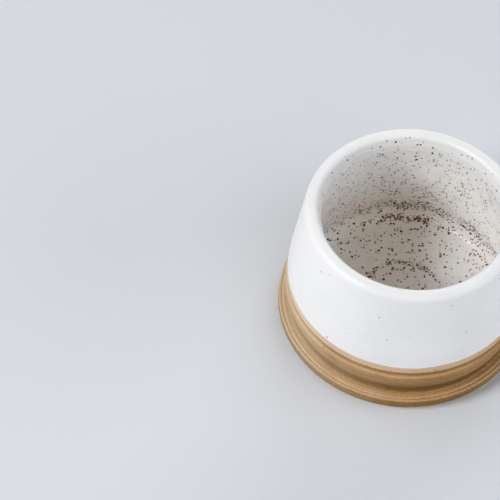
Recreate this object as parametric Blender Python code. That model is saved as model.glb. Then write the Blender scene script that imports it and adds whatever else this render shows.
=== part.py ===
"""Handleless stoneware mug: a turned clay body under an outer glaze coat and a speckled liner coat.

Metres, +Z up. The origin is the centre of the foot, on the surface that the mug stands on.
Each piece is a profile in the XZ plane, turned once round the Z axis.
"""

import math

import bpy
from mathutils import Matrix, Vector

# Wall of the clay body, without its coats
LIP_HEIGHT = 0.0644
LIP_RADIUS = 0.0401
LIP_THICKNESS = 0.0055
LIP_OUTER_ROUND = 0.0019
LIP_INNER_ROUND = 0.0020
LIP_FLANK_DEPTH = 0.0029
LIP_FLANK_WIDTH = 0.00165
LIP_FLANK_ROUND = 0.0050
WALL_FLARE = 0.0059
BASE_WALL_THICKNESS = 0.0068

# Inside of the cup
FLOOR_THICKNESS = 0.0054
FLOOR_CORNER_ROUND = 0.0070
WELL_RADIUS = 0.0170
WELL_DEPTH = 0.0006
WELL_SLOPE = 0.0020
WELL_ROUND = 0.0030

# Foot flange, from the table up
FOOT_RING_WIDTH = 0.0080
FOOT_BEVEL_WIDTH = 0.0031
FOOT_BEVEL_HEIGHT = 0.0045
FOOT_BEVEL_ROUND = 0.0040
FOOT_SIDE_HEIGHT = 0.0038
FOOT_SIDE_FLARE = 0.0004
SHOULDER_BEAD_WIDTH = 0.0009
SHOULDER_BEAD_ROUND = 0.0005
SHOULDER_GROOVE_WIDTH = 0.0008
SHOULDER_GROOVE_DEPTH = 0.0003
SHOULDER_GROOVE_ROUND = 0.0003
LEDGE_WIDTH = 0.0041
LEDGE_RISE = 0.0002

# Turned recess under the foot
RECESS_DEPTH = 0.0020
RECESS_SLOPE = 0.0015
RECESS_ROUND = 0.0010

# Waist, sunk between the foot and the collar
WAIST_DEPTH = 0.0036
WAIST_BAND_HEIGHT = 0.0028
WAIST_ROUND = 0.0014
COVE_HEIGHT = 0.0062
COVE_ROUND = 0.0040

# Collar of raw clay below the glaze line
COLLAR_ROLL_INSET = 0.0003
COLLAR_ROLL_ROUND = 0.0090
COLLAR_FACE_HEIGHT = 0.0029
RIB_STAND = 0.0002
RIB_HEIGHT = 0.0009
RIB_ROUND = 0.0006
COLLAR_GROOVE_WIDTH = 0.0027
COLLAR_GROOVE_DEPTH = 0.0006
COLLAR_GROOVE_ROUND = 0.0009
COLLAR_BAND_HEIGHT = 0.0040

# Glaze coats
GLAZE_THICKNESS = 0.0005
GLAZE_GAP = 0.0001
LINER_LINE_DEPTH = 0.0052
COAT_SEAM = 0.0003

# Facets
SEGMENTS = 64
ARC_STEP = math.radians(30.0)
LONGEST_ROUND = 0.49
MERGE_DISTANCE = 0.00001

# Heights that follow from the bands above
FLOOR_HEIGHT = RECESS_DEPTH + FLOOR_THICKNESS
SHOULDER_HEIGHT = FOOT_BEVEL_HEIGHT + FOOT_SIDE_HEIGHT
WAIST_HEIGHT = SHOULDER_HEIGHT + LEDGE_RISE
COVE_BOTTOM_HEIGHT = WAIST_HEIGHT + WAIST_BAND_HEIGHT
COLLAR_ROLL_HEIGHT = COVE_BOTTOM_HEIGHT + COVE_HEIGHT
RIB_BOTTOM_HEIGHT = COLLAR_ROLL_HEIGHT + COLLAR_FACE_HEIGHT
GROOVE_BOTTOM_HEIGHT = RIB_BOTTOM_HEIGHT + RIB_HEIGHT
GROOVE_TOP_HEIGHT = GROOVE_BOTTOM_HEIGHT + COLLAR_GROOVE_WIDTH
GLAZE_LINE_HEIGHT = GROOVE_TOP_HEIGHT + COLLAR_BAND_HEIGHT
LINER_LINE_HEIGHT = LIP_HEIGHT - LINER_LINE_DEPTH


def outer_radius(height):
    """Outside of the clay wall, a straight cone that is carried on below the glaze line."""
    drop = (LIP_HEIGHT - height) / (LIP_HEIGHT - GLAZE_LINE_HEIGHT)
    return LIP_RADIUS + WALL_FLARE * drop


def inner_radius(height):
    """Inside of the clay wall, which thickens evenly from the lip to the floor."""
    drop = (LIP_HEIGHT - height) / (LIP_HEIGHT - FLOOR_HEIGHT)
    return outer_radius(height) - LIP_THICKNESS - (BASE_WALL_THICKNESS - LIP_THICKNESS) * drop


def corner_arc(before, corner, after, size):
    """Points of the arc that rounds one corner, limited by the shorter of its two sides."""
    back = before - corner
    ahead = after - corner
    turn = math.pi - back.angle(ahead)
    reach = min(size * math.tan(turn / 2), LONGEST_ROUND * min(back.length, ahead.length))
    start = corner + back.normalized() * reach
    end = corner + ahead.normalized() * reach
    middle = (back.normalized() + ahead.normalized()).normalized()
    centre = corner + middle * reach / math.sin(turn / 2)
    steps = max(2, math.ceil(turn / ARC_STEP))
    sweep = (end - centre).angle_signed(start - centre)
    swings = [Matrix.Rotation(sweep * step / steps, 2) for step in range(steps + 1)]
    return [centre + swing @ (start - centre) for swing in swings]


def outline(corners):
    """A line through (radius, height) points, with an arc at each corner that also names a round."""
    spots = [Vector(corner[:2]) for corner in corners]
    points = []
    for index, corner in enumerate(corners):
        if len(corner) == 2:
            points.append(spots[index])
        else:
            points += corner_arc(spots[index - 1], spots[index], spots[index + 1], corner[2])
    return points


def inside_line():
    """Clay surface inside the cup, from the middle of the floor up to the liner's edge."""
    edge_height = LINER_LINE_HEIGHT - COAT_SEAM
    return outline([
        (0.0, FLOOR_HEIGHT - WELL_DEPTH),
        (WELL_RADIUS, FLOOR_HEIGHT - WELL_DEPTH, WELL_ROUND),
        (WELL_RADIUS + WELL_SLOPE, FLOOR_HEIGHT, WELL_ROUND),
        (inner_radius(FLOOR_HEIGHT), FLOOR_HEIGHT, FLOOR_CORNER_ROUND),
        (inner_radius(edge_height), edge_height),
    ])


def lip_line():
    """Clay surface from the liner's edge up the lip's flank, over the lip and down to the glaze line."""
    flank_height = LIP_HEIGHT - LIP_FLANK_DEPTH
    flank_radius = inner_radius(flank_height)
    return outline([
        (inner_radius(LINER_LINE_HEIGHT), LINER_LINE_HEIGHT),
        (flank_radius, flank_height, LIP_FLANK_ROUND),
        (flank_radius + LIP_FLANK_WIDTH, LIP_HEIGHT, LIP_INNER_ROUND),
        (outer_radius(LIP_HEIGHT), LIP_HEIGHT, LIP_OUTER_ROUND),
        (outer_radius(GLAZE_LINE_HEIGHT), GLAZE_LINE_HEIGHT),
    ])


def off_cone(height, stand, size):
    """A corner at this height that stands off the line of the wall's cone."""
    return (outer_radius(height) + stand, height, size)


def collar_corners():
    """Collar below the glaze line: a shallow groove, a rib, and a face that rolls in to the waist."""
    groove_height = (GROOVE_TOP_HEIGHT + 2 * GROOVE_BOTTOM_HEIGHT) / 3
    return [
        off_cone(GROOVE_TOP_HEIGHT, 0.0, COLLAR_GROOVE_ROUND),
        off_cone(groove_height, -COLLAR_GROOVE_DEPTH, COLLAR_GROOVE_ROUND),
        off_cone(GROOVE_BOTTOM_HEIGHT, RIB_STAND, RIB_ROUND),
        off_cone(RIB_BOTTOM_HEIGHT, RIB_STAND, RIB_ROUND),
        off_cone(COLLAR_ROLL_HEIGHT, -COLLAR_ROLL_INSET, COLLAR_ROLL_ROUND),
    ]


def foot_corners():
    """Cove and waist, sloping ledge, shoulder bead with its groove, and the bevelled side of the foot."""
    waist_radius = outer_radius(WAIST_HEIGHT) - WAIST_DEPTH
    shoulder_radius = waist_radius + LEDGE_WIDTH
    foot_radius = shoulder_radius + FOOT_SIDE_FLARE
    groove_inset = SHOULDER_BEAD_WIDTH + SHOULDER_GROOVE_WIDTH / 2

    def on_ledge(inset, stand, size):
        height = SHOULDER_HEIGHT + LEDGE_RISE * inset / LEDGE_WIDTH
        return (shoulder_radius - inset, height + stand, size)

    return [
        (waist_radius, COVE_BOTTOM_HEIGHT, COVE_ROUND),
        (waist_radius, WAIST_HEIGHT, WAIST_ROUND),
        on_ledge(SHOULDER_BEAD_WIDTH + SHOULDER_GROOVE_WIDTH, 0.0, SHOULDER_GROOVE_ROUND),
        on_ledge(groove_inset, -SHOULDER_GROOVE_DEPTH, SHOULDER_GROOVE_ROUND),
        on_ledge(SHOULDER_BEAD_WIDTH, 0.0, SHOULDER_GROOVE_ROUND),
        on_ledge(0.0, 0.0, SHOULDER_BEAD_ROUND),
        (foot_radius, FOOT_BEVEL_HEIGHT, FOOT_BEVEL_ROUND),
        (foot_radius - FOOT_BEVEL_WIDTH, 0.0),
    ]


def raw_line():
    """Raw clay from the glaze line down the collar, waist and foot, and in under the foot to the axis."""
    foot = foot_corners()
    ring_inner = foot[-1][0] - FOOT_RING_WIDTH
    return outline([
        (outer_radius(GLAZE_LINE_HEIGHT), GLAZE_LINE_HEIGHT),
        *collar_corners(),
        *foot,
        (ring_inner, 0.0),
        (ring_inner - RECESS_SLOPE, RECESS_DEPTH, RECESS_ROUND),
        (0.0, RECESS_DEPTH),
    ])


def lifted(line, distance):
    """The line moved off the clay by an even distance, with any point on the axis kept on it."""
    points = []
    for index, spot in enumerate(line):
        before = (spot - line[index - 1]).normalized() if index > 0 else None
        after = (line[index + 1] - spot).normalized() if index < len(line) - 1 else None
        along = ((before or after) + (after or before)).normalized()
        bend = along.dot(before or after)
        points.append(spot + Vector((-along.y, along.x)) * distance / bend)
    return points


def coat_profile(line):
    """A coat of even thickness over a stretch of the clay surface."""
    face = lifted(line, GLAZE_GAP + GLAZE_THICKNESS)
    back = lifted(line, GLAZE_GAP)
    return face + back[::-1]


def finish(name, colour, roughness):
    material = bpy.data.materials.new(name)
    material.use_nodes = True
    shader = material.node_tree.nodes["Principled BSDF"]
    shader.inputs["Base Color"].default_value = (*colour, 1.0)
    shader.inputs["Roughness"].default_value = roughness
    shader.inputs["Metallic"].default_value = 0.0
    return material


def turned(name, profile, material, parent):
    """A piece turned from its profile. A profile that starts on the axis also ends on it."""
    count = len(profile)
    on_axis = profile[0].x == 0.0
    edges = [(index, index + 1) for index in range(count - 1)]
    if not on_axis:
        edges.append((count - 1, 0))
    mesh = bpy.data.meshes.new(name)
    mesh.from_pydata([(spot.x, 0.0, spot.y) for spot in profile], edges, [])
    piece = bpy.data.objects.new(name, mesh)
    piece.data.materials.append(material)
    piece.parent = parent
    bpy.context.scene.collection.objects.link(piece)
    screw = piece.modifiers.new("turn", "SCREW")
    screw.steps = SEGMENTS
    screw.render_steps = SEGMENTS
    screw.use_merge_vertices = True
    screw.merge_threshold = MERGE_DISTANCE
    screw.use_smooth_shade = True
    return piece


def build():
    for stale in list(bpy.data.objects):
        bpy.data.objects.remove(stale)
    mug = bpy.data.objects.new("mug", None)
    bpy.context.scene.collection.objects.link(mug)

    raw_clay = finish("raw_clay", (0.50, 0.33, 0.19), 0.85)
    white_glaze = finish("white_glaze", (0.84, 0.84, 0.84), 0.30)
    speckled_glaze = finish("speckled_glaze", (0.80, 0.79, 0.77), 0.25)

    inside = inside_line()
    lip = lip_line()
    turned("clay_body", inside + lip + raw_line()[1:], raw_clay, mug)
    turned("outer_glaze", coat_profile(lip), white_glaze, mug)
    turned("liner_glaze", coat_profile(inside), speckled_glaze, mug)


build()
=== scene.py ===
# %% [markdown]
# # A handleless stoneware mug
#
# A potter throws this mug on a wheel, so every surface is a section turned about one upright axis.
# The CAD frame holds that section as a coarse solid. This lesson reads the section back, turns it
# again with many more steps, and adds what a hand and a kiln leave behind: rolled glaze edges,
# throwing rings and iron specks.

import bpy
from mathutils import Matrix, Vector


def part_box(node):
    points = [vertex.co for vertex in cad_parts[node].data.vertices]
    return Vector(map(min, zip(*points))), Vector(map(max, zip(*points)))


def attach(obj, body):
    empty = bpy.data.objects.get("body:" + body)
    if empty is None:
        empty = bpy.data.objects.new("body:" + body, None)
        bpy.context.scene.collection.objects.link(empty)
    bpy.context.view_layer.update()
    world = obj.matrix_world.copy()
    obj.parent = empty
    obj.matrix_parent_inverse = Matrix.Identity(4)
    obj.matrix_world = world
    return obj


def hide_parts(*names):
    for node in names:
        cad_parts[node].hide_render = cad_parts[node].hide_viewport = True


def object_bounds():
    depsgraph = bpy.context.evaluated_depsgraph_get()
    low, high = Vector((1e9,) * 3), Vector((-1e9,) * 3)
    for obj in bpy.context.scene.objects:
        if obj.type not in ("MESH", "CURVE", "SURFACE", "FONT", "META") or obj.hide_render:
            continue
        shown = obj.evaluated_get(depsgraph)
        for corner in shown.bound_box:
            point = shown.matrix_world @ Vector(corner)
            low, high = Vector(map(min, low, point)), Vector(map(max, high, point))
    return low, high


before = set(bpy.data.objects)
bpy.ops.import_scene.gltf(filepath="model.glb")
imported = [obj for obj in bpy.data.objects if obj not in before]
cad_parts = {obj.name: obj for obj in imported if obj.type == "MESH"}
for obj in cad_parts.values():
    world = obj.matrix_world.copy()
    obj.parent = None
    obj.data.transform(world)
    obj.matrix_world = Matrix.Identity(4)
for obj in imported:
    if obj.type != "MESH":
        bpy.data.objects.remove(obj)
cad_box = [list(corner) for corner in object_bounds()]
print("frame:", sorted(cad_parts), "reaching to", [round(reach, 4) for reach in cad_box[1]])

# %% [markdown]
# ## The section of the clay
#
# The clay body was made by turning one outline, so the edges that lie in the XZ plane are that
# outline. Walking along those edges gives the points in order, from the middle of the cup's floor,
# up the inside, over the lip, down the outside and in under the foot. The points could be typed in
# here as a list, but reading them from the frame means that no size is written twice.

# %% Read the outline of the clay body
import math

import bmesh
import bpy
import numpy as np
from mathutils import Vector

ON_PLANE = 1e-6
DIGITS = 6


def section_of(node):
    """Outline of a turned node as (radius, height) rows, from the axis above to the axis below."""
    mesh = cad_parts[node].data
    spots = [tuple(round(part, DIGITS) for part in vertex.co) for vertex in mesh.vertices]
    beside = {}
    for edge in mesh.edges:
        ends = [spots[index] for index in edge.vertices]
        if ends[0] != ends[1] and all(x > 0.0 and abs(y) < ON_PLANE for x, y, z in ends):
            beside.setdefault(ends[0], set()).add(ends[1])
            beside.setdefault(ends[1], set()).add(ends[0])
    loose_ends = [spot for spot in beside if len(beside[spot]) == 1]
    walked = [max(loose_ends, key=lambda spot: spot[2])]
    ahead = set(beside[walked[0]])
    while ahead:
        walked.append(ahead.pop())
        ahead = beside[walked[-1]] - {walked[-2]}
    on_axis = [(0.0, end[2]) for end in (walked[0], walked[-1])]
    return np.array([on_axis[0], *[(x, z) for x, y, z in walked], on_axis[1]])


clay_outline = section_of("clay_body")
print("clay outline:", len(clay_outline), "points, up to", clay_outline[:, 1].max(), "m")

# %% [markdown]
# ## A smooth line through the points
#
# The outline's rounds are short straight chords. A subdivision surface would smooth them, but it
# would also pull in edges that should stay. A cubic through each pair of neighbours, heading the
# way that the points on both sides lie, turns the chords back into curves and leaves straight walls
# straight. Corners that are truly sharp, such as the edges of the foot ring, first lose a small
# piece, because fired clay never keeps a knife edge.

# %% Wear the sharp corners
SHARP_TURN = math.radians(40.0)
EDGE_WEAR = 0.00035


def worn_corners(points):
    """The points with every sharp corner replaced by two, a little way along its sides."""
    kept = [points[0]]
    for before, corner, after in zip(points[:-2], points[1:-1], points[2:]):
        back = Vector(before - corner)
        ahead = Vector(after - corner)
        if math.pi - back.angle(ahead) > SHARP_TURN:
            kept += [corner + EDGE_WEAR * np.array(side.normalized()) for side in (back, ahead)]
        else:
            kept.append(corner)
    return np.array([*kept, points[-1]])


worn_outline = worn_corners(clay_outline)
print("worn corners:", len(worn_outline) - len(clay_outline))

# %% Draw the outline as a fine line
FINE_STEP = 0.00022


def stretch_lengths(points):
    """Length of each stretch between neighbouring points."""
    return np.hypot(*np.diff(points, axis=0).T)


def flowing(points, longest):
    """A smooth line through the points, in steps no longer than this."""
    first_way, last_way = points[1:2] - points[:1], points[-1:] - points[-2:-1]
    heading = np.vstack([first_way, points[2:] - points[:-2], last_way])
    heading /= np.hypot(*heading.T)[:, None]
    line = []
    for index, length in enumerate(stretch_lengths(points)):
        count = max(2, math.ceil(length / longest))
        t = np.arange(count)[:, None] / count
        near = (2 * t**3 - 3 * t**2 + 1) * points[index]
        near += (t**3 - 2 * t**2 + t) * length * heading[index]
        far = (3 * t**2 - 2 * t**3) * points[index + 1]
        far += (t**3 - t**2) * length * heading[index + 1]
        line.append(near + far)
    return np.vstack([*line, points[-1:]])


clay_line = flowing(worn_outline, FINE_STEP)
clay_line[:, 1] = clay_line[:, 1].clip(clay_outline[:, 1].min())
run = np.concatenate([[0.0], np.cumsum(stretch_lengths(clay_line))])
print("clay line:", len(clay_line), "points over", round(run[-1] * 1000, 1), "mm")

# %% [markdown]
# ## Where the coats begin and end
#
# Both glazes lie on the same clay line, so one number along that line, the run, tells where each
# coat stops. The boxes of the coats in the frame give the heights of those two places. The
# difference in height between the whole mug and its clay gives how far a coat stands off the clay.

# %% Find the coats along the line
lip_index = int(np.argmax(clay_line[:, 1]))
mug_radius = cad_box[1][0]
mug_height = cad_box[1][2]
glaze_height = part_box("outer_glaze")[0].z
liner_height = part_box("liner_glaze")[1].z
coat = mug_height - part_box("clay_body")[1].z


def run_below(height):
    """Run at which the outside of the clay first drops below this height."""
    return run[lip_index + int(np.argmax(clay_line[lip_index:, 1] < height))]


glaze_run = run_below(glaze_height)
foot_run = run_below(EDGE_WEAR / 2)
liner_run = run[int(np.argmax(clay_line[:, 1] > liner_height))]
print("the liner ends at", round(liner_run, 4), "m along the clay")
print("the white coat ends at", round(glaze_run, 4), "m along the clay")

# %% [markdown]
# ## Turning a section
#
# Blender's Screw modifier would turn the section into perfect circles. Turning the rings in code
# lets each point sway a little with the angle, as thrown clay does. Every piece shares the same
# sway, so the coats stay on the clay they cover. A section is handed over as the rings' radii and
# heights, one row for each ring and one column for each angle.

# %% Sway round the mug
AROUND = 256
angles = np.linspace(0.0, math.tau, AROUND, endpoint=False)


def waves(*ripples):
    """Slow waves round the mug. Each ripple is (waves per turn, height, start)."""
    return sum(height * np.sin(count * angles + start) for count, height, start in ripples)


def eased(values, start, end):
    """A smooth rise from 0 at start to 1 at end."""
    share = np.clip((values - start) / (end - start), 0.0, 1.0)
    return share * share * (3 - 2 * share)


lip_sway = waves((2, 0.00009, 0.6), (3, 0.00005, 2.1), (5, 0.00002, 4.0))
wall_sway = waves((2, 0.00008, 1.9), (3, 0.00004, 0.3))
print("the lip sways by", round((lip_sway.max() - lip_sway.min()) * 1000, 2), "mm")


# %% Follow the clay line
def points_at(distances):
    """Points of the clay line at these distances along it."""
    return np.column_stack([np.interp(distances, run, clay_line[:, axis]) for axis in (0, 1)])


def headings(distances):
    """Directions along the clay line at these distances."""
    steps = points_at(distances + FINE_STEP) - points_at(distances - FINE_STEP)
    return steps / np.hypot(*steps.T)[:, None]


def outward(distances):
    """Directions straight out of the clay at these distances along its line."""
    along = headings(distances)
    return np.column_stack([-along[:, 1], along[:, 0]])


def lifted(distances, lift):
    """Rings that stand off the clay by lift, given as one row for each ring."""
    spots = points_at(distances)
    ways = outward(distances)
    return spots[:, :1] + ways[:, :1] * lift, spots[:, 1:] + ways[:, 1:] * lift


glaze_spot = np.array([glaze_run])
print("the glaze line has a radius of", round(points_at(glaze_spot)[0, 0], 4), "m")

# %% Turn rings into a mesh
WELD = 1e-7


def turned(name, radius, height, closed=False, skin_and_shading=None):
    """A smooth mesh object from rings. A section that isn't closed starts and ends on the axis."""
    radius = radius * (1.0 + eased(height, 0.0, glaze_height) * wall_sway / mug_radius)
    height = height + eased(height, glaze_height, mug_height) * lip_sway
    places = np.stack([radius * np.cos(angles), radius * np.sin(angles), height], axis=-1)
    rings = len(radius)
    this_ring = np.arange(rings if closed else rings - 1)[:, None] * AROUND
    next_ring = (this_ring + AROUND) % (rings * AROUND)
    here = np.arange(AROUND)
    ahead = np.roll(here, -1)
    corners = [this_ring + here, next_ring + here, next_ring + ahead, this_ring + ahead]
    mesh = bpy.data.meshes.new(name)
    mesh.from_pydata(places.reshape(-1, 3), [], np.stack(corners, axis=-1).reshape(-1, 4))
    if skin_and_shading is not None:
        on_points = mesh.attributes.new("skin_and_shading", "FLOAT", "POINT")
        on_points.data.foreach_set("value", np.repeat(skin_and_shading, AROUND))
    shell = bmesh.new()
    shell.from_mesh(mesh)
    bmesh.ops.remove_doubles(shell, verts=shell.verts, dist=WELD)
    shell.to_mesh(mesh)
    shell.free()
    mesh.shade_smooth()
    piece = bpy.data.objects.new(name, mesh)
    bpy.context.scene.collection.objects.link(piece)
    print(name, "has", len(mesh.polygons), "faces")
    return piece


print("turning with", AROUND, "points to each ring")

# %% [markdown]
# ## The clay body
#
# The body is one thrown lump of clay. Only the collar, the waist and the foot show as bare clay.
# An even step would spend most of the faces on clay that the glaze hides, so only the bare stretch
# gets a fine one. Under the foot, a trimming tool has left a shallow spiral.

# %% Space the rings of the clay body
HIDDEN_STEP = 0.0025
UNDER_STEP = 0.0007

raw_run = glaze_run - HIDDEN_STEP
clay_runs = np.concatenate([
    np.arange(0.0, raw_run, HIDDEN_STEP),
    np.arange(raw_run, foot_run, FINE_STEP),
    np.arange(foot_run, run[-1], UNDER_STEP),
    run[-1:],
])
clay_points = points_at(clay_runs)
clay_radius, clay_height = clay_points.T
print("clay rings:", len(clay_runs))

# %% Trim a spiral under the foot
SPIRAL_DEPTH = 0.00007
SPIRAL_PITCH = 0.0026

ring_inner = clay_radius[clay_height < EDGE_WEAR][-1]
in_recess = (clay_runs > foot_run) & (clay_radius < ring_inner - SPIRAL_PITCH)
spiral = np.sin(clay_points[:, :1] / SPIRAL_PITCH * math.tau + angles)
spiral_depth = SPIRAL_DEPTH * in_recess[:, None] * eased(clay_points[:, :1], 0.0, SPIRAL_PITCH)
print("the spiral crosses", int(in_recess.sum()), "rings")

# %% [markdown]
# ## Brown skin with painted shade and light
#
# Raw clay fires with a brown skin. The number worked out for each ring mixes that skin with
# painted shade and painted light: the sunk waist, the grooves and the foot are painted darker as
# shade, and ridges, faces that look up and the band just under the glaze are painted paler where
# light falls on them. The number could be painted on the mesh by hand, but one number for each
# ring, worked out from the section, follows every change of its shape. Grooves and ridges are
# found by how far each ring lies below or above a softened copy of the section.

# %% Find the waist, the grooves and the ridges
GROOVE_REACH = 0.0012
SOFTENED_OVER = np.linspace(-3.0, 3.0, 61)
WAIST_DEPTHS = (0.0012, 0.0030)


def groove_depth(distances):
    """How deep the clay lies below a softened copy of its line."""
    nearby = SOFTENED_OVER * GROOVE_REACH
    weight = np.exp(-0.5 * (nearby / GROOVE_REACH) ** 2)
    shares = weight / weight.sum()
    softened = sum(share * points_at(distances + shift) for shift, share in zip(nearby, shares))
    return ((softened - points_at(distances)) * outward(distances)).sum(axis=1)


glaze_radius = points_at(glaze_spot)[0, 0]
wall_way = headings(np.array([raw_run]))[0]
wall_radius = glaze_radius + (clay_height - glaze_height) * wall_way[0] / wall_way[1]
above_foot = clay_runs < run[np.argmax(clay_line[:, 0])]
sunk = eased(wall_radius - clay_radius, *WAIST_DEPTHS) * above_foot
groove = groove_depth(clay_runs)
print("the deepest groove lies", round(groove.max() * 1000, 2), "mm below the softened line")

# %% Work out the skin with its painted shade and light, and turn the clay
# Painted shade: waist, grooves, foot. Painted light: ridges, upward faces, band under the glaze.
USUAL_SKIN = 0.58
SUNK_SHADE = 0.38
GROOVE_SHADE = 300.0
RIDGE_LIGHT = 600.0
UPWARD_LIGHT = 0.32
LOOKING_UP = (0.3, 0.95)
BAND_LIGHT = 0.58
BAND_DROPS = (0.0043, 0.0034)
FOOT_SHADE = 0.32
FOOT_DEPTHS = (0.0018, 0.0010)

# The number mixes the skin with painted shade and painted light.
groove_shading = groove * np.where(groove > 0.0, GROOVE_SHADE, RIDGE_LIGHT)
painted_light = UPWARD_LIGHT * eased(outward(clay_runs)[:, 1], *LOOKING_UP)
painted_light += BAND_LIGHT * eased(clay_height, *[glaze_height - drop for drop in BAND_DROPS])
on_foot = eased(clay_radius, *[mug_radius - depth for depth in FOOT_DEPTHS])
skin_and_shading = USUAL_SKIN + SUNK_SHADE * sunk + groove_shading * (1.0 - sunk) - painted_light + FOOT_SHADE * on_foot
clay_body = turned(
    "thrown_clay",
    np.repeat(clay_points[:, :1], AROUND, axis=1),
    clay_points[:, 1:] + spiral_depth * spiral,
    skin_and_shading=skin_and_shading,
)

# %% [markdown]
# ## The white outer coat
#
# The mug is dipped upside down, so the coat stops at a line that is almost level. Melting glaze
# creeps a little past that line. It thins out towards it, ends in a small round roll, and the line
# wanders by a fraction of a millimetre. On the inside of the lip the glaze slides down and gathers,
# which softens the lip, and further down it thins out, where the liner meets it without a visible
# step. A Solidify modifier would give an even shell with a square edge, so the thickness is worked
# out ring by ring.

# %% Space the rings of the outer coat
COAT_STEP = 0.0004
CREEP = 0.0008
ROLL_WIDTH = 0.00025
ROLL_POINTS = 10
MEETING = 0.0012

white_end = glaze_run + CREEP
roll = white_end - ROLL_WIDTH * (1.0 - np.sin(np.linspace(0.0, math.pi / 2, ROLL_POINTS)))
white_runs = np.concatenate([np.arange(liner_run - MEETING, roll[0], COAT_STEP), roll])
print("rings of the outer coat:", len(white_runs))

# %% Let the glaze slide off the lip
LIP_SLIDE = 0.00036
SLIDE_DROP = 0.0029
SLIDE_SPREAD = 0.0013
LIP_GATHER = 0.00040
GATHER_START = (0.0036, 0.0076)
GATHER_END = (0.008, 0.050)


def softening(distances):
    """Glaze that has slid off the inside of the lip, and has gathered below it."""
    below_lip = mug_height - points_at(distances)[:, 1]
    inside = distances < run[lip_index]
    slid = LIP_SLIDE * np.exp(-((below_lip - SLIDE_DROP) / SLIDE_SPREAD) ** 2)
    fading = 1.0 - eased(below_lip, *GATHER_END)
    gathered = LIP_GATHER * eased(below_lip, *GATHER_START) * fading
    return inside * (gathered - slid)


white_softening = softening(white_runs)
print("the glaze on the lip thins by", round(-white_softening.min() * 1000, 2), "mm")

# %% Work out the thickness of the outer coat
THIN_EDGE = 0.55
LINE_REACH = 0.0060
MEETING_DIP = 0.00005

to_line = white_end - white_runs
rounding = np.sqrt(1.0 - np.clip(1.0 - to_line / ROLL_WIDTH, 0.0, 1.0) ** 2)
thinning = MEETING_DIP * (1.0 - eased(white_runs, liner_run - MEETING, liner_run + MEETING))
white_lift = coat * rounding * (THIN_EDGE + (1.0 - THIN_EDGE) * eased(to_line, 0.0, LINE_REACH))
white_lift += white_softening - thinning
print("the outer coat stands up to", round(white_lift.max() * 1000, 2), "mm off the clay")

# %% Turn the outer coat
SUNK = -0.00005

line_wander = waves(
    (3, 0.00010, 0.4),
    (5, 0.00005, 5.1),
    (8, 0.00005, 1.7),
    (13, 0.00003, 3.0),
    (21, 0.00002, 0.9),
)


def coat_rings(distances, lift):
    """Rings of a coat's outer face, and of its back, which is sunk a little into the clay."""
    face = lifted(distances, lift)
    back = lifted(distances[::-1], np.full_like(lift, SUNK))
    return [np.vstack(pair) for pair in zip(face, back)]


white_radius, white_height = coat_rings(white_runs, white_lift[:, None])
both_ways = np.concatenate([white_runs, white_runs[::-1]])
wander = (1.0 - eased(white_end - both_ways, 0.0, LINE_REACH))[:, None] * line_wander
slope = headings(both_ways)
outer_glaze = turned(
    "white_coat",
    white_radius + slope[:, :1] * wander,
    white_height + slope[:, 1:] * wander,
    closed=True,
)

# %% [markdown]
# ## The speckled liner
#
# The inside is poured with its own glaze. The thrower's fingers have left a faint spiral up the
# wall, which fades before the floor and before the lip, and one clearer ring a short way under the
# lip. Bump in the material could fake these, but here they are part of the mesh, so that soft
# reflections bend over them from every side.

# %% Press the throwing rings into the liner
LINER_STEP = 0.0005
FINGER_DEPTH = 0.000015
FINGER_PITCH = 0.0065
FINGER_START = (0.2, 0.4)
FINGER_END = 0.8
LIP_RING_DEPTH = 0.00004
LIP_RING_DROP = 0.0085
LIP_RING_WIDTH = 0.0013

liner_end = liner_run + MEETING
liner_runs = np.append(np.arange(0.0, liner_end, LINER_STEP), liner_end)
liner_rise = points_at(liner_runs)[:, 1:]
above_floor = eased(liner_rise, *[share * mug_height for share in FINGER_START])
below_lip = 1.0 - eased(liner_rise, FINGER_END * mug_height, liner_height)
spiral = np.sin(liner_rise / FINGER_PITCH * math.tau + angles)
fingers = FINGER_DEPTH * (above_floor * below_lip) * spiral
to_lip_ring = liner_rise - mug_height + LIP_RING_DROP
lip_ring = LIP_RING_DEPTH * np.exp(-((to_lip_ring / LIP_RING_WIDTH) ** 2))
print("rings of the liner:", len(liner_runs))

# %% Turn the liner
tucking = MEETING_DIP * eased(liner_runs, liner_run - MEETING, liner_end)[:, None]
liner_lift = coat + softening(liner_runs)[:, None] - tucking + fingers - lip_ring
liner_glaze = turned("speckled_liner", *coat_rings(liner_runs, liner_lift))

# %% [markdown]
# ## Small tools for materials
#
# A material is a tree of nodes, which could be built by hand in the Shader Editor. These helpers
# add a node, and give each of its sockets either a plain value or a link, so that the recipes
# further down read as short lists. A group is a tree with named sockets of its own, which several
# materials can use with different values.


# %% Helpers that add one node
def feed(tree, socket, value):
    """Sets a socket to a value, or links it to another node's output."""
    if isinstance(value, bpy.types.NodeSocket):
        tree.links.new(value, socket)
    else:
        socket.default_value = value


def add(tree, kind, settings=None, **sockets):
    """Adds a node. Settings are its properties, and a socket's spaces are underscores."""
    made = tree.nodes.new("ShaderNode" + kind)
    for name, value in (settings or {}).items():
        setattr(made, name, value)
    for name, value in sockets.items():
        feed(tree, made.inputs[name.replace("_", " ")], value)
    return made


def calc(tree, operation, *terms, kind="Math"):
    """Adds a Math or VectorMath node and gives its first output that is in use."""
    made = add(tree, kind, {"operation": operation})
    for socket, term in zip(made.inputs, terms):
        feed(tree, socket, term)
    return next(output for output in made.outputs if output.enabled)


def times(tree, *factors):
    """Product of two or more factors."""
    product = factors[0]
    for factor in factors[1:]:
        product = calc(tree, "MULTIPLY", product, factor)
    return product


print("helpers for single nodes ready")


# %% Helpers that place, spread and blend
def object_place(tree):
    """Coordinates of the surface in metres, in the frame of the piece."""
    return add(tree, "TexCoord").outputs["Object"]


def axes(tree):
    """X, Y and Z of the surface, picked by name."""
    return add(tree, "SeparateXYZ", Vector=object_place(tree)).outputs


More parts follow.
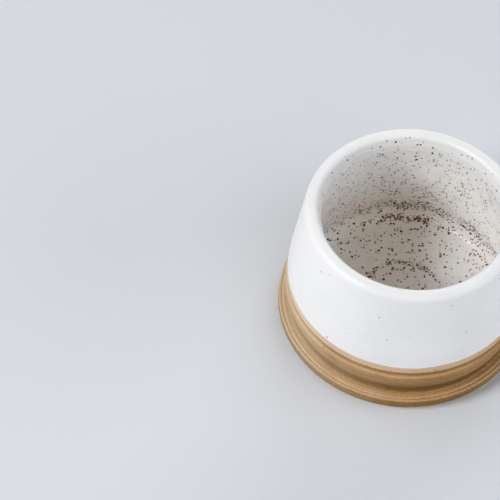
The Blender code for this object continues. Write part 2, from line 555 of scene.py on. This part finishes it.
def from_axis(tree, place):
    """Distance from the axis that the mug was turned on."""
    squares = [calc(tree, "POWER", place[name], 2.0) for name in "XY"]
    return calc(tree, "SQRT", calc(tree, "ADD", *squares))


def noise(tree, scale, detail):
    """Soft noise over the surface."""
    made = add(tree, "TexNoise", Vector=object_place(tree), Scale=scale, Detail=detail)
    return made.outputs["Fac"]


def remap(tree, value, from_low, from_high, to_low, to_high, shape="SMOOTHSTEP"):
    """Output of a Map Range node."""
    made = add(tree, "MapRange", {"interpolation_type": shape}, Value=value)
    ends = {"From Min": from_low, "From Max": from_high, "To Min": to_low, "To Max": to_high}
    for name, end in ends.items():
        feed(tree, made.inputs[name], end)
    return made.outputs["Result"]


def blend(tree, share, first, second):
    """Colour output of a Mix node."""
    made = add(tree, "Mix", {"data_type": "RGBA"})
    sockets = [socket for socket in made.inputs if socket.enabled]
    for socket, value in zip(sockets, (share, first, second)):
        feed(tree, socket, value)
    return next(output for output in made.outputs if output.enabled)


print("helpers for places and colours ready")


# %% Helpers for groups
def new_group(name, inputs, outputs):
    """A shader group with number inputs and their usual values, and number outputs."""
    group = bpy.data.node_groups.new(name, "ShaderNodeTree")
    number = {"socket_type": "NodeSocketFloat"}
    for socket_name, usual in inputs.items():
        socket = group.interface.new_socket(socket_name, in_out="INPUT", **number)
        socket.default_value = usual
    for socket_name in outputs:
        group.interface.new_socket(socket_name, in_out="OUTPUT", **number)
    given = group.nodes.new("NodeGroupInput").outputs
    return group, given, group.nodes.new("NodeGroupOutput").inputs


def use(tree, group, **sockets):
    """Places a group in a tree and gives its outputs."""
    return add(tree, "Group", {"node_tree": group}, **sockets).outputs


print("helpers for groups ready")

# %% [markdown]
# ## Iron specks
#
# Grains of iron in the clay melt through the glaze as small round blots, which bleed a rusty halo
# into it. A painted image would need an unwrapped mesh and would show its seams, so the specks are
# worked out in space. Voronoi cells scatter points evenly. A cell whose random number is below the
# crowding gets a speck, and a little noise bends its outline. The group puts out the speck, its
# halo and a random number for its tint. The clay and both glazes use it with values of their own.

# %% Group: iron specks
BENDS_PER_CELL = 1.6
BEND_REACH = 0.35
SMALLEST, LARGEST = 0.45, 1.2
SOLID_CORE = 0.7
HALO_REACH = 2.2

specks, given, result = new_group(
    "iron specks",
    {"Cell": 0.0016, "Size": 0.25, "Crowding": 0.2},
    ["Mask", "Halo", "Tint"],
)
bend_scale = calc(specks, "DIVIDE", BENDS_PER_CELL, given["Cell"])
bend = add(specks, "TexNoise", Vector=object_place(specks), Scale=bend_scale, Detail=1.0)
either_way = calc(specks, "SUBTRACT", bend.outputs["Color"], (0.5, 0.5, 0.5), kind="VectorMath")
reach = add(specks, "CombineXYZ")
for socket in reach.inputs:
    feed(specks, socket, times(specks, given["Cell"], BEND_REACH))
bent_place = calc(
    specks, "MULTIPLY_ADD", either_way, reach.outputs[0], object_place(specks), kind="VectorMath"
)
cell_scale = calc(specks, "DIVIDE", 1.0, given["Cell"])
cells = add(specks, "TexVoronoi", Vector=bent_place, Scale=cell_scale)
chance = add(specks, "SeparateColor", Color=cells.outputs["Color"]).outputs
share = remap(specks, chance["Green"], 0.0, 1.0, SMALLEST, LARGEST, "LINEAR")
speck_size = times(specks, given["Size"], share)
core = times(specks, speck_size, SOLID_CORE)
halo = times(specks, speck_size, HALO_REACH)
from_middle = cells.outputs["Distance"]
chosen = calc(specks, "LESS_THAN", chance["Red"], given["Crowding"])
spot = remap(specks, from_middle, core, speck_size, 1.0, 0.0)
glow = remap(specks, from_middle, 0.0, halo, 1.0, 0.0)
feed(specks, result["Mask"], times(specks, spot, chosen))
feed(specks, result["Halo"], times(specks, glow, chosen))
feed(specks, result["Tint"], chance["Blue"])
print(specks.name, "with", len(specks.nodes), "nodes")

# %% [markdown]
# ## Turning lines
#
# A sponge, a rib or a trimming tool drags fine lines round the spinning clay. Noise that is
# stretched far round the mug and squeezed across the section looks the same, where a Wave texture
# would be too even. Height less radius keeps growing all the way up the outside, so it serves as
# the place across the section on walls and ledges alike.

# %% Group: turning lines
lines, given, result = new_group(
    "turning lines",
    {"Pitch": 0.0005, "Wander": 12.0, "Detail": 2.0},
    ["Lines"],
)
place = axes(lines)
up_outside = calc(lines, "SUBTRACT", place["Z"], from_axis(lines, place))
drag = add(
    lines,
    "CombineXYZ",
    X=times(lines, place["X"], given["Wander"]),
    Y=times(lines, place["Y"], given["Wander"]),
    Z=calc(lines, "DIVIDE", up_outside, given["Pitch"]),
)
dragged = add(lines, "TexNoise", Vector=drag.outputs[0], Scale=1.0, Detail=given["Detail"])
feed(lines, result["Lines"], dragged.outputs["Fac"])
print(lines.name, "with", len(lines.nodes), "nodes")

# %% [markdown]
# ## Bare clay
#
# Fired stoneware is a dull golden tan. The number from the mesh, the skin with its painted shade
# and light, is broken up by fine turning lines, broad streaks, the grain of the clay and soft
# patches, and then a colour ramp turns it into a tone, from pale to deep brown. One ramp would
# make the mug the same all round. The front right, which the window light reaches less, is
# painted darker as shade, so there are two ramps, one for each side of the mug, and the direction
# round the mug blends them. On the lit side, the lowest part of the foot is painted browner as
# shade.


# %% Helpers for a finish
def new_material(name):
    """A material with its tree, and the Principled shader in it."""
    made = bpy.data.materials.new(name)
    made.use_nodes = True
    return made, made.node_tree, made.node_tree.nodes["Principled BSDF"].inputs


def ramp(tree, value, *stops):
    """Colour output of a Color Ramp node with these colours spread evenly along it."""
    made = add(tree, "ValToRGB", Fac=value)
    bar = made.color_ramp.elements
    while len(bar) < len(stops):
        bar.new(0.5)
    for index, colour in enumerate(stops):
        bar[index].position = index / (len(stops) - 1)
        bar[index].color = colour
    return made.outputs["Color"]


def uneven(tree, value, pattern, swing):
    """A value that a pattern pushes up and down by this much."""
    return calc(tree, "MULTIPLY_ADD", calc(tree, "SUBTRACT", pattern, 0.5), swing, value)


print("helpers for finishes ready")

# %% Raw clay: how much skin and painted shading is left
raw_clay, tree, shader = new_material("raw_clay")
streaks = use(tree, lines, Pitch=0.00035, Wander=25.0, Detail=3.0)["Lines"]
broad_streaks = use(tree, lines, Pitch=0.0016, Wander=14.0, Detail=1.0)["Lines"]
grain = noise(tree, scale=1300.0, detail=4.0)
patches = noise(tree, scale=55.0, detail=2.0)
# The skin number from the mesh also holds painted shade and painted light.
skin_and_shading_left = add(tree, "Attribute", {"attribute_name": "skin_and_shading"}).outputs["Fac"]
for pattern, swing in ((streaks, 0.70), (broad_streaks, 0.40), (grain, 0.60), (patches, 0.35)):
    skin_and_shading_left = uneven(tree, skin_and_shading_left, pattern, swing)
print("the skin is broken up by four patterns, with", len(tree.nodes), "nodes")

# %% Raw clay: the lit side and the side with painted shade
LIT_SIDE_TONES = ((0.71, 0.55, 0.40, 1.0), (0.545, 0.393, 0.243, 1.0), (0.38, 0.262, 0.15, 1.0))
SHADED_SIDE_TONES = ((0.67, 0.47, 0.30, 1.0), (0.405, 0.228, 0.088, 1.0), (0.172, 0.095, 0.024, 1.0))
FOOT_SHADE_TONE = (0.27, 0.188, 0.108, 1.0)
FOOT_SHADE_HEIGHTS = (0.0066, 0.0078)
FOOT_SHADE_SHARE = 0.75
SHADED_SIDE = math.radians(315.0)
SIDE_SHADE_EDGES = (-0.019, 0.033)
SIDE_SHADE_SWING = 0.02

# Painted shade: the front right of the clay is darker than the side the window light falls on.
shaded_way = (math.cos(SHADED_SIDE), math.sin(SHADED_SIDE), 0.0)
to_shaded_side = calc(tree, "DOT_PRODUCT", object_place(tree), shaded_way, kind="VectorMath")
side_shade = remap(tree, uneven(tree, to_shaded_side, patches, SIDE_SHADE_SWING), *SIDE_SHADE_EDGES, 0.0, 1.0)
# Painted shade: on the lit side the foot is darker below about 7 mm.
on_foot = remap(tree, axes(tree)["Z"], *FOOT_SHADE_HEIGHTS, FOOT_SHADE_SHARE, 0.0)
painted_foot_shade = times(tree, on_foot, calc(tree, "SUBTRACT", 1.0, side_shade))
lit_side = blend(tree, painted_foot_shade, ramp(tree, skin_and_shading_left, *LIT_SIDE_TONES), FOOT_SHADE_TONE)
tan = blend(tree, side_shade, lit_side, ramp(tree, skin_and_shading_left, *SHADED_SIDE_TONES))
# The printed angle is the way the side darkened by painted shade faces.
print("the flame came from", round(math.degrees(SHADED_SIDE)), "degrees")

# %% Raw clay: specks, dullness and relief
RUST_TONE = (0.17, 0.055, 0.026, 1.0)
RUST_SHARE = 0.7
USUAL_NOISE = (0.3, 0.7)
CLAY_ROUGHNESS = (0.72, 0.9)
GRAIN_RELIEF = 0.6

rust_spots = use(tree, specks, Cell=0.0030, Size=0.14, Crowding=0.10)["Mask"]
tan = blend(tree, times(tree, rust_spots, RUST_SHARE), tan, RUST_TONE)
feed(tree, shader["Base Color"], tan)
feed(tree, shader["Roughness"], remap(tree, grain, *USUAL_NOISE, *CLAY_ROUGHNESS))
shader["Specular IOR Level"].default_value = 0.3
height = uneven(tree, streaks, grain, GRAIN_RELIEF)
relief = add(tree, "Bump", Strength=0.5, Distance=0.00006, Height=height)
feed(tree, shader["Normal"], relief.outputs["Normal"])
clay_body.data.materials.append(raw_clay)
print(raw_clay.name, "with", len(tree.nodes), "nodes")

# %% [markdown]
# ## Painted shade inside the lip
#
# Just inside the lip the white glaze lies over the liner. A grey band there is painted shade, for
# the flank that turns down from the lip into the cup. It could be painted on each mesh, but one
# group that both glazes use keeps it in step across the seam. Its mask starts a little below the
# lip, fades out further down and leaves the outside alone.

# %% Group: painted shade inside the lip
LIP_EDGE = 0.001
FLANK_SHADE_START = (0.0002, 0.0024)
FLANK_SHADE_END = (0.0036, 0.0068)

flank_shade, given, result = new_group(
    "glaze overlap",
    {"Lip Height": 0.065, "Lip Radius": 0.037},
    ["Mask"],
)
place = axes(flank_shade)
below_lip = calc(flank_shade, "SUBTRACT", given["Lip Height"], place["Z"])
starting = remap(flank_shade, below_lip, *FLANK_SHADE_START, 0.0, 1.0)
fading = remap(flank_shade, below_lip, *FLANK_SHADE_END, 1.0, 0.0)
edge = calc(flank_shade, "SUBTRACT", given["Lip Radius"], LIP_EDGE)
inside_lip = remap(flank_shade, from_axis(flank_shade, place), edge, given["Lip Radius"], 1.0, 0.0)
feed(flank_shade, result["Mask"], times(flank_shade, starting, fading, inside_lip))
print(flank_shade.name, "with", len(flank_shade.nodes), "nodes")

# %% [markdown]
# ## White glaze
#
# The outer glaze is a thick, satin white. A plain white shader would look like paint, so a fine
# peel, faint lines of the clay below and very soft clouds keep the surface uneven. A few grey
# specks have come through. Where it overlaps the liner, painted shade greys it, and some of the
# liner's iron shows in it.

# %% White glaze: colour
WHITES = ((0.85, 0.85, 0.86, 1.0), (0.88, 0.88, 0.892, 1.0))
WHITE_FLANK_SHADE = (0.765, 0.765, 0.772, 1.0)
LINER_IRON = (0.085, 0.034, 0.013, 1.0)
GREY_SPECK = (0.30, 0.28, 0.26, 1.0)
GREY_SHARES = (0.2, 0.7)
WHITE_CLOUDS = (0.35, 0.65)
lip_radius = clay_line[lip_index, 0]

white_glaze, tree, shader = new_material("white_glaze")
clouds = noise(tree, scale=45.0, detail=2.0)
# Painted shade greys the white on the inner flank below the lip.
flank_shaded = use(tree, flank_shade, Lip_Height=mug_height, Lip_Radius=lip_radius)["Mask"]
come_through = use(tree, specks, Cell=0.0012, Size=0.38, Crowding=0.24)["Mask"]
dots = use(tree, specks, Cell=0.0036, Size=0.125, Crowding=0.34)
dot_share = times(tree, dots["Mask"], remap(tree, dots["Tint"], 0.0, 1.0, *GREY_SHARES))
white = blend(tree, remap(tree, clouds, *WHITE_CLOUDS, 0.0, 1.0), *WHITES)
white = blend(tree, flank_shaded, white, WHITE_FLANK_SHADE)
white = blend(tree, times(tree, come_through, flank_shaded), white, LINER_IRON)
white = blend(tree, dot_share, white, GREY_SPECK)
feed(tree, shader["Base Color"], white)
print("the lip has a radius of", round(lip_radius, 4), "m")

# %% White glaze: gloss and relief
WHITE_ROUGHNESS = (0.40, 0.46)

peel = noise(tree, scale=900.0, detail=1.0)
faint_lines = use(tree, lines, Pitch=0.0024, Wander=10.0, Detail=1.0)["Lines"]
height = calc(tree, "ADD", peel, faint_lines)
relief = add(tree, "Bump", Strength=0.25, Distance=0.00004, Height=height)
feed(tree, shader["Normal"], relief.outputs["Normal"])
feed(tree, shader["Roughness"], remap(tree, clouds, *USUAL_NOISE, *WHITE_ROUGHNESS))
outer_glaze.data.materials.append(white_glaze)
print(white_glaze.name, "with", len(tree.nodes), "nodes")

# %% [markdown]
# ## Rings of settled iron
#
# The liner is glossier and a little warmer than the white, and it holds far more iron. Heavy grains
# settle while the glaze is poured, so specks crowd into broken rings. Radius plus height grows all
# the way from the middle of the floor to the lip, so one number tells the place of a ring. Noise
# lets the ring drift, and more noise breaks it into clumps. A group makes one such ring, so that
# four of them can differ in place, width and clumping.

# %% Group: settled rings
DRIFT_SCALE = 70.0
CLUMP_SCALE = 190.0
CLUMP_EDGE = 0.12

rings, given, result = new_group(
    "settled rings",
    {"Place": 0.05, "Width": 0.001, "Wander": 0.001, "Clumping": 0.5, "Seed": 0.0},
    ["Mask"],
)
place = axes(rings)
up_inside = calc(rings, "ADD", place["Z"], from_axis(rings, place))
around = add(rings, "CombineXYZ", X=place["X"], Y=place["Y"]).outputs[0]
drift = add(rings, "TexNoise", Vector=around, Scale=DRIFT_SCALE, Detail=1.0).outputs["Fac"]
clumps = add(
    rings,
    "TexNoise",
    {"noise_dimensions": "4D"},
    Vector=around,
    W=given["Seed"],
    Scale=CLUMP_SCALE,
    Detail=2.0,
).outputs["Fac"]
drifted = uneven(rings, up_inside, drift, given["Wander"])
off_ring = calc(rings, "ABSOLUTE", calc(rings, "SUBTRACT", drifted, given["Place"]))
on_ring = remap(rings, off_ring, 0.0, given["Width"], 1.0, 0.0)
sparse = calc(rings, "SUBTRACT", given["Clumping"], CLUMP_EDGE)
dense = calc(rings, "ADD", given["Clumping"], CLUMP_EDGE)
broken = remap(rings, clumps, sparse, dense, 0.0, 1.0)
feed(rings, result["Mask"], times(rings, on_ring, broken))
print(rings.name, "with", len(rings.nodes), "nodes")

# %% [markdown]
# ## Where the iron lies
#
# There is one ring of iron in the corner between wall and floor, a looser one above it, and one
# round the shallow well in the floor. The glaze was poured towards the far side, so the rings are
# fuller there and thinner on the left, and in the middle of the far corner the iron lies in a pile.
# The wall has loose clumps. A crowding, which says how many cells get a speck, is worked out for
# each kind of speck. Scattering small discs over the mesh would also work, but they would stand on
# the glaze instead of lying in it.

# %% Speckled glaze: rings and the pile
WELL_RING = 0.0242
CORNER_RING = 0.0478
UPPER_RING = 0.0560
POUR_EDGES = (-0.02, 0.03)
POUR_SHARES = (0.5, 1.0)
THIN_EDGES = (-0.026, -0.002)
THIN_SHARES = (0.10, 1.0)
PILE_MIDDLE = 0.002
PILE_EDGES = (0.005, 0.014)
PILE_SHARES = (2.0, 0.0)
PILE_START = (0.0, 0.01)

speckled_glaze, tree, shader = new_material("speckled_glaze")
place = axes(tree)


def ring(at, width, wander, clumping, seed):
    """Mask of one broken ring of iron in the liner."""
    made = use(tree, rings, Place=at, Width=width, Wander=wander, Clumping=clumping, Seed=seed)
    return made["Mask"]


corner_ring = ring(CORNER_RING, width=0.0019, wander=0.004, clumping=0.45, seed=1.0)
upper_ring = ring(UPPER_RING, width=0.0050, wander=0.006, clumping=0.40, seed=2.0)
piled_ring = ring(CORNER_RING, width=0.0032, wander=0.004, clumping=0.36, seed=5.0)
well_ring = ring(WELL_RING, width=0.0017, wander=0.003, clumping=0.36, seed=3.0)
poured = remap(tree, place["Y"], *POUR_EDGES, *POUR_SHARES)
thinned = times(tree, poured, remap(tree, place["X"], *THIN_EDGES, *THIN_SHARES))
off_pile = calc(tree, "ABSOLUTE", calc(tree, "SUBTRACT", place["X"], PILE_MIDDLE))
far_side = remap(tree, place["Y"], *PILE_START, 0.0, 1.0)
pile_arc = times(tree, remap(tree, off_pile, *PILE_EDGES, *PILE_SHARES), far_side)
piled = times(tree, piled_ring, pile_arc)
print("rings of iron where radius plus height is", (WELL_RING, CORNER_RING, UPPER_RING), "m")

# %% Speckled glaze: how crowded the specks are
WELL_WEIGHT = 3.0
PILE_WEIGHT = 0.3
FLOOR_END = (0.010, 0.020)
FLOOR_CROWDS = (0.23, 0.04)
WALL_START = 0.014
WALL_CROWDS = (0.80, 0.32)
DUST_START = 0.008
DUST_SHARES = (0.4, 1.0)
LOOSE_CLUMPS = (0.36, 0.64)
LOOSE_SHARES = (0.25, 1.4)

rise = place["Z"]
settled = times(tree, calc(tree, "ADD", corner_ring, upper_ring), thinned)
well_weight = times(tree, poured, WELL_WEIGHT)
grain_crowd = calc(tree, "MULTIPLY_ADD", well_ring, well_weight, settled)
on_floor = remap(tree, rise, *FLOOR_END, *FLOOR_CROWDS)
blot_crowd = calc(tree, "MULTIPLY_ADD", piled, PILE_WEIGHT, on_floor)
loose_clumps = noise(tree, scale=120.0, detail=2.0)
scatter = remap(tree, loose_clumps, *LOOSE_CLUMPS, *LOOSE_SHARES)
on_wall = remap(tree, rise, WALL_START, liner_height, *WALL_CROWDS, "LINEAR")
off_floor = remap(tree, rise, DUST_START, WALL_START, *DUST_SHARES)
dust_crowd = times(tree, scatter, on_wall, off_floor)
clot_crowd = calc(tree, "MAXIMUM", piled, times(tree, corner_ring, thinned))
clot_crowd = calc(tree, "MAXIMUM", clot_crowd, times(tree, well_ring, poured))
print("crowding worked out for dust, grains, blots and clots")

# %% Speckled glaze: four kinds of speck
CLOT_PILES = (0.2, 1.2)
CLOT_SIZES = (0.56, 0.80)

dust = use(tree, specks, Cell=0.0012, Size=0.38, Crowding=dust_crowd)
grains = use(tree, specks, Cell=0.0009, Size=0.54, Crowding=grain_crowd)
blots = use(tree, specks, Cell=0.0014, Size=0.43, Crowding=blot_crowd)
clot_size = remap(tree, piled, *CLOT_PILES, *CLOT_SIZES)
clots = use(tree, specks, Cell=0.0009, Size=clot_size, Crowding=clot_crowd)
print("four kinds of speck, from dust to clots")

# %% [markdown]
# ## Speckled liner glaze
#
# Thin glaze is nearly white. Where it has pooled on the floor and in the track of the pour up the
# wall, it is warmer and darker, partly a thick cream glaze and partly painted shade, and soft
# darker clouds drift through it. Just under the lip the same painted shade as on the white greys
# it. All the halos are laid over that colour first, and then the specks, from the finest to the
# coarsest. One brown for all of them would look printed, so each speck's tint picks a tone
# between two.

# %% Speckled glaze: the glaze below the specks
THIN_TONE = (0.92, 0.92, 0.92, 1.0)
POOLED_SHADED_TONE = (0.79, 0.715, 0.64, 1.0)
LIP_TONE = (0.88, 0.88, 0.89, 1.0)
LINER_FLANK_SHADE = (0.80, 0.80, 0.807, 1.0)
CLOUD_TONE = (0.66, 0.63, 0.59, 1.0)
POOL_HEIGHTS = (0.012, 0.045)
TRACK_PLACE = 0.004
TRACK_EDGES = (0.008, 0.030)
TRACK_SHARES = (1.0, 0.15)
LIP_BAND = 0.006
CLOUD_EDGES = (0.45, 0.75)
CLOUD_SHARE = 0.2

# The warmer, darker tone on the floor and in the pour track is partly pooled glaze, partly painted
# shade.
off_track = calc(tree, "ABSOLUTE", calc(tree, "ADD", place["X"], TRACK_PLACE))
on_track = remap(tree, off_track, *TRACK_EDGES, *TRACK_SHARES)
pooled_and_shaded = times(tree, remap(tree, rise, *POOL_HEIGHTS, 1.0, 0.0), on_track)
near_lip = remap(tree, rise, liner_height - LIP_BAND, liner_height, 0.0, 1.0)
# Painted shade greys the liner just under the lip, as it does the white.
flank_shaded = use(tree, flank_shade, Lip_Height=mug_height, Lip_Radius=lip_radius)["Mask"]
clouds = noise(tree, scale=60.0, detail=2.0)
pale = blend(tree, pooled_and_shaded, THIN_TONE, POOLED_SHADED_TONE)
pale = blend(tree, near_lip, pale, LIP_TONE)
pale = blend(tree, flank_shaded, pale, LINER_FLANK_SHADE)
pale = blend(tree, remap(tree, clouds, *CLOUD_EDGES, 0.0, CLOUD_SHARE), pale, CLOUD_TONE)
print("the glaze is warmest below", POOL_HEIGHTS[0], "m")

# %% Speckled glaze: lay the specks over it
HALO_TONE = (0.58, 0.34, 0.12, 1.0)
FINE_TONES = ((0.028, 0.010, 0.004, 1.0), (0.140, 0.050, 0.015, 1.0))
BLOT_TONES = ((0.022, 0.008, 0.003, 1.0), (0.140, 0.046, 0.012, 1.0))
CLOT_TONES = ((0.028, 0.009, 0.003, 1.0), (0.210, 0.064, 0.013, 1.0))

for bleeding, share in ((dust, 0.28), (grains, 0.34), (blots, 0.32), (clots, 0.60)):
    pale = blend(tree, times(tree, bleeding["Halo"], share), pale, HALO_TONE)
fine_iron = blend(tree, dust["Tint"], *FINE_TONES)
blot_iron = blend(tree, blots["Tint"], *BLOT_TONES)
clot_iron = blend(tree, clots["Tint"], *CLOT_TONES)
for kind, iron in ((dust, fine_iron), (grains, fine_iron), (blots, blot_iron), (clots, clot_iron)):
    pale = blend(tree, kind["Mask"], pale, iron)
feed(tree, shader["Base Color"], pale)
print("specks laid over the glaze")

# %% Speckled glaze: gloss and relief
LINER_ROUGHNESS = (0.24, 0.32)

peel = noise(tree, scale=700.0, detail=1.0)
relief = add(tree, "Bump", Strength=0.12, Distance=0.00005, Height=peel)
feed(tree, shader["Roughness"], remap(tree, clouds, *USUAL_NOISE, *LINER_ROUGHNESS))
feed(tree, shader["Normal"], relief.outputs["Normal"])
liner_glaze.data.materials.append(speckled_glaze)
print(speckled_glaze.name, "with", len(tree.nodes), "nodes")

# %% [markdown]
# ## Taking the place of the CAD nodes
#
# Each piece rides on the frame's one body and hides the node that it stands for.

# %% Tie the pieces to the frame
stands_for = {
    clay_body: ("clay_body", "raw_clay"),
    outer_glaze: ("outer_glaze", "white_glaze"),
    liner_glaze: ("liner_glaze", "speckled_glaze"),
}
for piece, (node, slot) in stands_for.items():
    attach(piece, "root")
    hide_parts(node)
print("pieces:", [piece.name for piece in stands_for])

# %% [markdown]
# ## The table
#
# The mug stands on a plain, pale, slightly blue disc. A large plane would end in a hard horizon in
# a low view. The disc's Alpha falls to nothing towards the rim instead, so that it melts into the
# room.

# %% Make the floor
FLOOR_RADIUS = 1.0
FLOOR_CORNERS = 96

floor_mesh = bpy.data.meshes.new("pale_floor")
rim = np.linspace(0.0, math.tau, FLOOR_CORNERS, endpoint=False)
floor_rim = FLOOR_RADIUS * np.column_stack([np.cos(rim), np.sin(rim), np.zeros(FLOOR_CORNERS)])
floor_mesh.from_pydata(floor_rim, [], [range(FLOOR_CORNERS)])
pale_floor = bpy.data.objects.new("pale_floor", floor_mesh)
bpy.context.scene.collection.objects.link(pale_floor)
print("floor", 2 * FLOOR_RADIUS, "m wide")

# %% Paint the floor
FLOOR_TONE = (0.669, 0.69, 0.735, 1.0)
FADE_START = 0.4 * FLOOR_RADIUS

floor_paint, tree, shader = new_material("pale_floor")
shader["Base Color"].default_value = FLOOR_TONE
shader["Roughness"].default_value = 0.85
shader["Specular IOR Level"].default_value = 0.2
from_middle = from_axis(tree, axes(tree))
feed(tree, shader["Alpha"], remap(tree, from_middle, FADE_START, FLOOR_RADIUS, 1.0, 0.0))
floor_mesh.materials.append(floor_paint)
print("the floor fades out from", FADE_START, "m on")

# %% [markdown]
# ## Light
#
# Soft, slightly warm light comes from a large window-like panel on the left, and four dimmer,
# slightly blue cards fill in from the other sides. A sun lamp would throw a harder shadow than the
# photograph has. The panels are hidden from the camera, so that a low view has none in it.

# %% Place the lights
TARGET = Vector((0.0, 0.0, 0.03))
SUN = (1.0, 0.992, 0.980)
SHADE = (0.975, 0.992, 1.0)


def panel(name, azimuth, elevation, distance, size, power, tint):
    """A soft square light that faces the mug. Azimuth is counted from +X towards +Y."""
    turn = math.radians(azimuth)
    climb = math.radians(elevation)
    level = math.cos(climb)
    lamp = bpy.data.lights.new(name, "AREA")
    lamp.size = size
    lamp.energy = power
    lamp.color = tint
    made = bpy.data.objects.new(name, lamp)
    way = Vector((math.cos(turn) * level, math.sin(turn) * level, math.sin(climb)))
    made.location = distance * way
    made.rotation_euler = (TARGET - made.location).to_track_quat("-Z", "Y").to_euler()
    made.visible_camera = False
    bpy.context.scene.collection.objects.link(made)


panel("left_window", azimuth=204.0, elevation=39.5, distance=1.8, size=0.69, power=24.2, tint=SUN)
panel("back_card", azimuth=75.0, elevation=25.0, distance=1.2, size=0.90, power=6.2, tint=SHADE)
panel("right_card", azimuth=345.0, elevation=14.0, distance=1.2, size=0.90, power=7.6, tint=SHADE)
panel("front_card", azimuth=297.0, elevation=48.0, distance=1.2, size=0.90, power=3.6, tint=SHADE)
panel("left_card", azimuth=150.0, elevation=48.0, distance=1.2, size=0.80, power=2.2, tint=SHADE)

# %% [markdown]
# ## Room
#
# The room itself gives hardly any light, so that the panels shape the shade, and it only looks
# pale. One Background node can't do both. The Light Path node shows the camera a brighter room than
# the one that lights the mug. The Standard view keeps white glaze white, where the usual film-like
# view would grey it.

# %% Fill the room
DIM_AIR = (0.95, 0.97, 1.0, 1.0)
DIM_STRENGTH = 0.02
SEEN_AIR = (0.664, 0.69, 0.737, 1.0)

room = bpy.data.worlds.new("pale_room")
room.use_nodes = True
tree = room.node_tree
dim_air = tree.nodes["Background"]
dim_air.inputs["Color"].default_value = DIM_AIR
dim_air.inputs["Strength"].default_value = DIM_STRENGTH
seen_air = add(tree, "Background", Color=SEEN_AIR, Strength=1.0)
air = add(tree, "MixShader", Fac=add(tree, "LightPath").outputs["Is Camera Ray"])
for socket, side in zip(air.inputs[1:], (dim_air, seen_air)):
    feed(tree, socket, side.outputs["Background"])
feed(tree, tree.nodes["World Output"].inputs["Surface"], air.outputs["Shader"])
bpy.context.scene.world = room
bpy.context.scene.view_settings.view_transform = "Standard"
print(room.name, "with", len(tree.nodes), "nodes")

# %% [markdown]
# ## Camera
#
# The photograph looks down at the mug from the front, with the mug in the lower right of the frame.
# The camera could be moved by eye until the outlines agree. Its place and tilt were fitted to the
# ellipses of the rim, the glaze line and the foot instead, which is surer.

# %% Place the camera
PHOTO_PIXELS = 500
FOCAL_PIXELS = 1548
SENSOR = 36.0
CAMERA_PLACE = (-0.0613, -0.3523, 0.5240)
CAMERA_TILT = math.radians(36.0)

lens = bpy.data.cameras.new("photo_camera")
lens.sensor_width = SENSOR
lens.lens = SENSOR * FOCAL_PIXELS / PHOTO_PIXELS
camera = bpy.data.objects.new("photo_camera", lens)
camera.location = CAMERA_PLACE
camera.rotation_euler = (CAMERA_TILT, 0.0, 0.0)
bpy.context.scene.collection.objects.link(camera)
bpy.context.scene.camera = camera
print("camera with a lens of", round(lens.lens, 1), "mm")
